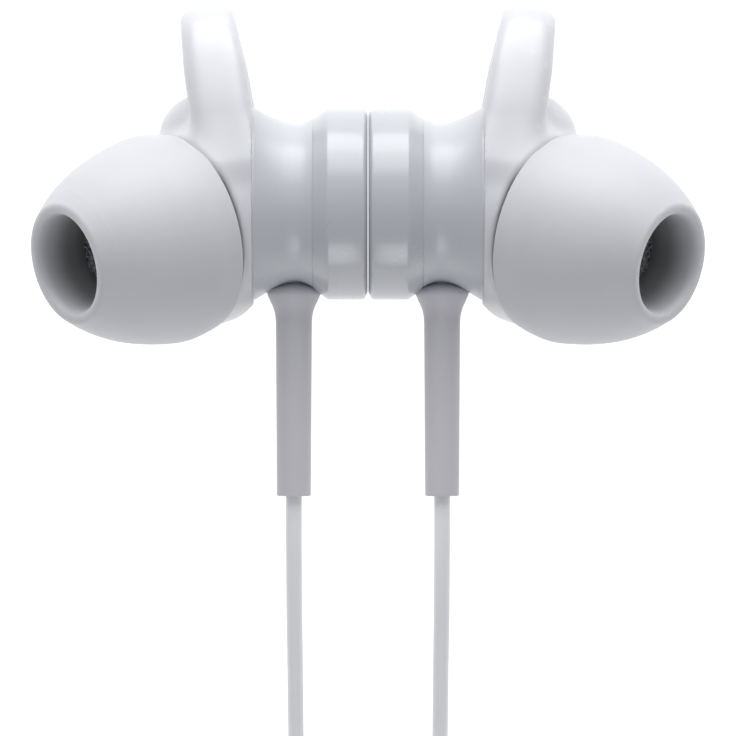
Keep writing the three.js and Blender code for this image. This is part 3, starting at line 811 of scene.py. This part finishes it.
BAND_X = 61
BAND_Z = 2.5
BAND_HALF_WIDTH, BAND_HALF_HEIGHT, BAND_SQUARENESS = 3.2, 2.5, 2.3
BAND_SIDES = 48
MOULD_LINE = 1.018  # how far the mould lines stand out, as a share of the half width
ARCH_FOOT = 40  # where the collar's straight part ends, in y
ARCH_HEIGHT = 50
ARCH_STOPS = 64
POD_TOP = -14


def band_section():
    """The collar's section: a soft oval with a fine mould line along each side."""
    ring = oval(BAND_HALF_WIDTH, BAND_HALF_HEIGHT, BAND_SIDES, BAND_SQUARENESS)
    for i in (0, BAND_SIDES // 2):
        ring[i] *= MOULD_LINE
    return ring


def band_path():
    """Half of the collar's middle line, from the middle of the arch to inside the pod."""
    angles = np.linspace(math.pi / 2, 0, ARCH_STOPS, endpoint=False)
    level = np.full(ARCH_STOPS, BAND_Z)
    arch = np.stack([BAND_X * np.cos(angles), ARCH_FOOT + ARCH_HEIGHT * np.sin(angles), level], 1)
    lengths = np.arange(ARCH_FOOT, POD_TOP - 1, -1.0)
    straight = np.stack([np.full(len(lengths), BAND_X), lengths, np.full(len(lengths), BAND_Z)], 1)
    return np.concatenate([arch, straight])


def make_band(side):
    """Half of the collar, swept from the middle of the arch to inside the pod."""
    points, faces = swept(band_path(), band_section())
    band = mesh_object(f"band_{side}", in_frame(points, side, True), faces, LOOKS["band_silicone"])
    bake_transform(band)
    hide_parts(f"band_skin_{side}", "band_skin_arch")


# ---------------------------------------------------------------- pods

# Inside a pod x is across from its middle line, y along from its top end, and z up from the surface.
POD_LENGTH = 64
POD_TAPERS = 14, 12  # the lengths over which the pod swells from its top end and shrinks to its tip
POD_END_HALF_WIDTH, POD_SWELL_WIDTH = 3.4, 3.6
POD_END_HALF_HEIGHT, POD_SWELL_HEIGHT = 2.8, 2.6
POD_SINK = 0.2  # how far the pod's oval section runs below the surface, where it is cut flat
POD_SQUARENESS = 2 / 0.75
POD_END_ROUND, POD_FLOOR_ROUND = 0.8, 0.3
POD_MARGIN, POD_HALF_SPAN, POD_STEP = 0.9, 7.9, 0.3
PARTING_Z, PARTING_RISE, PARTING_GAP, PARTING_ROUND = 2.4, 2.6, 0.05, 0.2
NOSE_Z = 2.8
NOSE_GAP = 0.3
BUTTONS = {"volume_up": 33.5, "multifunction": 41.5, "volume_down": 49.5}
BUTTON_WIDTH, BUTTON_LENGTH, BUTTON_LOW, BUTTON_TOP = 4.6, 6.4, 8.1, 11.2
BUTTON_CLEARANCE, BUTTON_POCKET = 0.3, 7.6
BUTTON_ROUND, POCKET_ROUND, HOLE_ROUND = 0.35, 0.2, 0.12
BUTTON_CROWN = 0.02  # how steeply the top falls away from its middle, for each square millimetre
MARK_HEIGHT, MARK_HALF_WIDTH, MARK_HALF_LENGTH, MARK_ROUND = 0.13, 0.18, 0.85, 0.1
MARK_FOOT, MARK_FILLET = 9, 0.08
RING_ACROSS, RING_HALF_WIDTH = 1.5, 0.17
PORT_SPOT, PORT_Z = 25.5, 6.1
PORT_HALVES, PORT_CORNER = (3.5, 4.45, 1.6), 1.2
PORT_HOLLOW_HALVES, PORT_HOLLOW_CORNER = (4.2, 4.15, 1.3), 0.95
PORT_HOLE_HALVES = (4.7, 4.65, 1.8)
TONGUE_HALVES, TONGUE_CORNER = (2.4, 3.3, 0.35), 0.12
FLAP_HALF_LENGTH, FLAP_HALF_HEIGHT, FLAP_THICK, FLAP_CORNER = 6, 2.6, 0.9, 0.9
FLAP_CLEARANCE, FLAP_ROUND, FLAP_SINK = 0.12, 0.15, 0.02
NOTCH_HALVES = np.array([0.9, 0.9, 1.6])
LIGHT_SPOT, LIGHT_HOLE, LIGHT_HOLE_FLOOR = 24, 1.8, 8
MICROPHONE_SPOT, MICROPHONE_HOLE, MICROPHONE_HOLE_FLOOR = 57, 2.0, 7.6
WEAVE_Z, WEAVE_RADIUS, WEAVE_WIRES, WEAVE_WIRE = 8.25, 0.9, 9, 0.035
LENS_OUTLINE = [(8.2, 0), (8.2, 0.8), (10.5, 0.8), (10.68, 0.5), (10.7, 0)]
RIBS, RIB_PITCH = 5, 1.25


def fullness(along):
    """How full a pod is at a distance from its top end: 0 at the ends, 1 along the middle."""
    return smooth(along / POD_TAPERS[0]) * smooth((POD_LENGTH - along) / POD_TAPERS[1])


def pod_field(p):
    """The pod's body: a squarish oval section that swells along its middle, cut flat at the surface."""
    full = fullness(p[..., 1])
    half_width = POD_END_HALF_WIDTH + POD_SWELL_WIDTH * full
    half_height = POD_END_HALF_HEIGHT + POD_SWELL_HEIGHT * full
    across, up = p[..., 0], p[..., 2] - half_height + POD_SINK
    shares = np.abs(across / half_width) ** POD_SQUARENESS + np.abs(up / half_height) ** POD_SQUARENESS
    size = np.maximum(shares ** (1 / POD_SQUARENESS), 1e-3)
    around = np.hypot(across, up) * (1 - 1 / size)
    ends = np.abs(p[..., 1] - POD_LENGTH / 2) - POD_LENGTH / 2
    return cut(cut(around, ends, POD_END_ROUND), -p[..., 2], POD_FLOOR_ROUND)


def pill_field(p, spot, width, length):
    """The distance to an upright pill-shaped post of any height."""
    along = np.maximum(np.abs(p[..., 1] - spot) - (length - width) / 2, 0)
    return np.hypot(p[..., 0], along) - width / 2


def block_field(p, middle, halves, radius):
    """The distance to a block with rounded edges."""
    q = np.abs(p - middle) - np.array(halves) + radius
    return np.linalg.norm(np.maximum(q, 0), axis=-1) + np.minimum(q.max(-1), 0) - radius


def sunk(p, post, floor):
    """An upright post down to a floor, as a hole to cut."""
    return np.maximum(post, floor - p[..., 2])


def flap_field(p, more):
    """The port's cover, a patch of the pod's side. It is wider all round and deeper by more."""
    halves = (4, FLAP_HALF_LENGTH + more, FLAP_HALF_HEIGHT + more)
    patch = block_field(p, np.array([8, PORT_SPOT, PORT_Z]), halves, FLAP_CORNER)
    return cut(patch, -(pod_field(p) + FLAP_THICK + more), FLAP_ROUND)


def notch_field(p):
    """A fingernail's notch at the flap's free end."""
    return egg_field(p, np.array([7.2, PORT_SPOT - 5.6, PORT_Z]), NOTCH_HALVES)


def notched_flap(p):
    """The cover's flap, flush with the pod's side."""
    flap = cut(flap_field(p, 0), pod_field(p) + FLAP_SINK, FLAP_ROUND)
    return cut(flap, -notch_field(p), 0.1)


def control_field(p):
    """The control pod's body with all its openings."""
    body = pod_field(p)
    width, length = BUTTON_WIDTH + BUTTON_CLEARANCE, BUTTON_LENGTH + BUTTON_CLEARANCE
    for spot in BUTTONS.values():
        body = cut(body, -sunk(p, pill_field(p, spot, width, length), BUTTON_POCKET), POCKET_ROUND)
    port = block_field(p, np.array([3, PORT_SPOT, PORT_Z]), PORT_HOLE_HALVES, PORT_CORNER)
    light = sunk(p, pill_field(p, LIGHT_SPOT, LIGHT_HOLE, LIGHT_HOLE), LIGHT_HOLE_FLOOR)
    microphone = pill_field(p, MICROPHONE_SPOT, MICROPHONE_HOLE, MICROPHONE_HOLE)
    microphone = sunk(p, microphone, MICROPHONE_HOLE_FLOOR)
    for hole in (port, flap_field(p, FLAP_CLEARANCE), light, microphone):
        body = cut(body, -hole, HOLE_ROUND)
    return body


def mark_field(p, name):
    """The upright post whose top is a button's mark: a plus, a ring or a minus."""
    spot = BUTTONS[name]
    if name == "multifunction":
        return np.abs(pill_field(p, spot, RING_ACROSS, RING_ACROSS)) - RING_HALF_WIDTH
    middle = np.array([0, spot, BUTTON_TOP])
    mark = block_field(p, middle, (MARK_HALF_LENGTH, MARK_HALF_WIDTH, 1), MARK_ROUND)
    if name == "volume_up":
        stroke = block_field(p, middle, (MARK_HALF_WIDTH, MARK_HALF_LENGTH, 1), MARK_ROUND)
        mark = np.minimum(mark, stroke)
    return mark


def button_field(p, name):
    """A button's cap with a crowned top and a raised mark."""
    spot = BUTTONS[name]
    crown = p[..., 2] - BUTTON_TOP + BUTTON_CROWN * (p[..., 0] ** 2 + (p[..., 1] - spot) ** 2)
    post = pill_field(p, spot, BUTTON_WIDTH, BUTTON_LENGTH)
    cap = cut(post, np.maximum(crown, BUTTON_LOW - p[..., 2]), BUTTON_ROUND)
    mark = np.maximum(mark_field(p, name), crown - MARK_HEIGHT)
    return merged(cap, np.maximum(mark, MARK_FOOT - p[..., 2]), MARK_FILLET)


def port_field(p):
    """A USB-C receptacle: a rounded steel shell with a tongue in it."""
    middle = np.array([2.0, PORT_SPOT, PORT_Z])
    shell = block_field(p, middle, PORT_HALVES, PORT_CORNER)
    hollow = block_field(p, middle + [1.2, 0, 0], PORT_HOLLOW_HALVES, PORT_HOLLOW_CORNER)
    tongue = block_field(p, middle + [0.6, 0, 0], TONGUE_HALVES, TONGUE_CORNER)
    return np.minimum(cut(shell, -hollow, 0.1), tongue)


def pod_piece(name, field, low, high, step, side, body, look, *nodes):
    """A piece of a pod from its field, in the pod's millimetres."""
    points, faces = skin_of(field, low, high, step)
    points = np.stack([BAND_X + points[:, 0], POD_TOP - points[:, 1], points[:, 2]], 1)
    obj = mesh_object(name, in_frame(points, side, True), faces, LOOKS[look])
    return placed(obj, body, look, *nodes)


def make_shells(pod, field, side):
    """A pod's lower and upper shell, parted by a fine groove that dips towards the ends."""

    def half_field(p, sign):
        parting = PARTING_Z + PARTING_RISE * fullness(p[..., 1])
        return cut(field(p), sign * (p[..., 2] - parting) + PARTING_GAP, PARTING_ROUND)

    for part, sign, low_z, high_z in (("lower", 1, -0.9, 5.8), ("upper", -1, 1.6, 11.5)):
        half = lambda p: half_field(p, sign)
        low = (-POD_HALF_SPAN, -POD_MARGIN, low_z)
        high = (POD_HALF_SPAN, POD_LENGTH + POD_MARGIN, high_z)
        name, node = f"{pod}_{part}", f"{pod}_pod_{part}"
        pod_piece(name, half, low, high, POD_STEP, side, f"{side}_arm", "pod_shell", node)


def nose_shape():
    """The ribbed, tapering sleeve at a pod's tip."""
    outline = [(-0.6, 0), (-0.6, 2.38), (0.9, 2.3)]
    for rib in range(RIBS):
        start = 1.1 + RIB_PITCH * rib
        radius = 2.2 - 0.17 * rib
        outline += [(start, radius - 0.22), (start + 0.35, radius - 0.25)]
        outline += [(start + 0.5, radius), (start + 1.1, radius - 0.06)]
    outline += [(7.5, 1.2), (8.9, 1.1), (8.9, 0)]
    return turned(rounded(outline, 0.12, 3), 48)


def surface_piece(name, shape, origin, direction, side, look, node):
    """A piece on a pod, made along +X and turned to point along direction from origin."""
    points, faces = shape
    obj = mesh_object(name, in_frame(aimed(points, origin, direction), side, True), faces, LOOKS[look])
    return placed(obj, f"{side}_arm", look, node)


def make_noses():
    """The strain relief at each pod's tip."""
    place = (BAND_X, POD_TOP - POD_LENGTH - NOSE_GAP, NOSE_Z)
    for side, pod in (("left", "battery"), ("right", "control")):
        nose = f"{pod}_pod_nose"
        surface_piece(nose + "_ribbed", nose_shape(), place, (0, -1, 0), side, "cord_jacket", nose)


def make_buttons():
    """The three buttons' caps."""
    for name, spot in BUTTONS.items():
        low, high = (-2.7, spot - 3.7, 7.7), (2.7, spot + 3.7, 11.8)
        field = lambda p: button_field(p, name)
        pod_piece(f"{name}_cap", field, low, high, 0.14, "right", name, "button_rubber", f"{name}_button")


def make_port():
    """The charging port and the flap that covers it."""
    low, high = (4.2, PORT_SPOT - 6.5, 3), (7.6, PORT_SPOT + 6.5, 9.2)
    pod_piece("cover_flap", notched_flap, low, high, 0.1, "right", "cover", "button_rubber", "port_cover")
    low, high = (-2, PORT_SPOT - 5, 4), (6.1, PORT_SPOT + 5, 8.2)
    pod_piece("port", port_field, low, high, 0.15, "right", "right_arm", "port_steel", "usb_port")


def make_light_and_microphone():
    """The status light's lens and the weave in the microphone's hole."""
    lens = turned(rounded(LENS_OUTLINE, 0.3), 40)
    place = (BAND_X, POD_TOP - LIGHT_SPOT, 0)
    surface_piece("status_lens", lens, place, (0, 0, 1), "right", "light_pipe", "status_light")
    weave = woven_shape(WEAVE_RADIUS, WEAVE_WIRES, WEAVE_WIRE)
    place = (BAND_X, POD_TOP - MICROPHONE_SPOT, WEAVE_Z)
    surface_piece("microphone_weave", weave, place, (0, 0, 1), "right", "steel_mesh", "microphone_mesh")


# ---------------------------------------------------------------- the whole

make_camera()
make_light()
make_floor()
for side in SIDES:
    make_cord(side)
finish_nodes()
for side in SIDES:
    make_band(side)
make_shells("battery", pod_field, "left")
make_shells("control", control_field, "right")
make_noses()
make_buttons()
make_port()
make_light_and_microphone()
sleeve = skin_of(sleeve_field, *SLEEVE_BOX, SLEEVE_STEP)
housing = skin_of(housing_field, *HOUSING_BOX, HOUSING_STEP)
for side in SIDES:
    make_bud(side, sleeve, housing)
